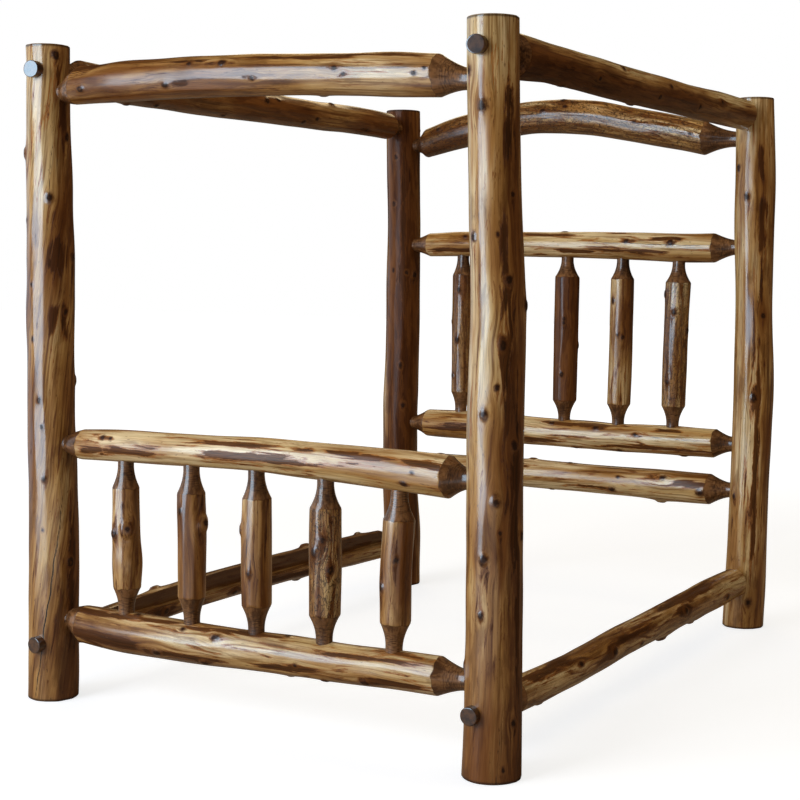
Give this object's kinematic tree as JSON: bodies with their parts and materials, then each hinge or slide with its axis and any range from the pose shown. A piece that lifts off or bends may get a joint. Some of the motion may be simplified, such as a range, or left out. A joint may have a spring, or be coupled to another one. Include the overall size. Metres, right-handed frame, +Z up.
{
  "type": "four poster canopy bed",
  "caption": "Queen-size log bed: upright posts, spindle head and foot panels, side rails ledged for a box spring, and an open canopy frame of logs with an arched rail over the head.",
  "frame": {"origin": "middle of the bed's footprint, on the floor", "axes": "+Z up; +Y from the foot to the head; +X to the right of a person who stands at the foot and looks at the head"},
  "size_m": [1.7744, 2.4054, 2.0988],
  "materials": {
    "honey_log": "gloss varnish on honey-stained peeled log",
    "arched_log": "gloss varnish on mottled dark peeled log",
    "peg_end_grain": "gloss varnish on dark end grain",
    "bolt_steel": "zinc plated"
  },
  "bodies": {
    "root": {"post_foot_left": "honey_log", "post_foot_right": "honey_log", "foot_canopy_rail": "honey_log", "foot_top_rail": "honey_log", "foot_bottom_rail": "honey_log", "foot_spindle_1": "honey_log", "foot_spindle_2": "honey_log", "foot_spindle_3": "honey_log", "foot_spindle_4": "honey_log", "foot_spindle_5": "honey_log", "post_head_left": "honey_log", "post_head_right": "honey_log", "head_top_rail": "honey_log", "head_lower_rail": "honey_log", "head_bottom_rail": "honey_log", "head_spindle_1": "honey_log", "head_spindle_2": "honey_log", "head_spindle_3": "honey_log", "head_spindle_4": "honey_log", "head_spindle_5": "honey_log", "head_canopy_rail": "arched_log", "side_rail_left": "honey_log", "side_rail_right": "honey_log", "canopy_side_rail_left": "honey_log", "canopy_side_rail_right": "honey_log", "bolt_side_left_foot": "bolt_steel", "washer_side_left_foot": "bolt_steel", "barrel_nut_side_left_foot": "bolt_steel", "peg_side_left_foot": "peg_end_grain", "bolt_side_left_head": "bolt_steel", "washer_side_left_head": "bolt_steel", "barrel_nut_side_left_head": "bolt_steel", "peg_side_left_head": "peg_end_grain", "bolt_canopy_side_left_foot": "bolt_steel", "washer_canopy_side_left_foot": "bolt_steel", "barrel_nut_canopy_side_left_foot": "bolt_steel", "peg_canopy_side_left_foot": "peg_end_grain", "bolt_canopy_side_left_head": "bolt_steel", "washer_canopy_side_left_head": "bolt_steel", "barrel_nut_canopy_side_left_head": "bolt_steel", "peg_canopy_side_left_head": "peg_end_grain", "bolt_side_right_foot": "bolt_steel", "washer_side_right_foot": "bolt_steel", "barrel_nut_side_right_foot": "bolt_steel", "peg_side_right_foot": "peg_end_grain", "bolt_side_right_head": "bolt_steel", "washer_side_right_head": "bolt_steel", "barrel_nut_side_right_head": "bolt_steel", "peg_side_right_head": "peg_end_grain", "bolt_canopy_side_right_foot": "bolt_steel", "washer_canopy_side_right_foot": "bolt_steel", "barrel_nut_canopy_side_right_foot": "bolt_steel", "peg_canopy_side_right_foot": "peg_end_grain", "bolt_canopy_side_right_head": "bolt_steel", "washer_canopy_side_right_head": "bolt_steel", "barrel_nut_canopy_side_right_head": "bolt_steel", "peg_canopy_side_right_head": "peg_end_grain"}
  },
  "joints": []
}
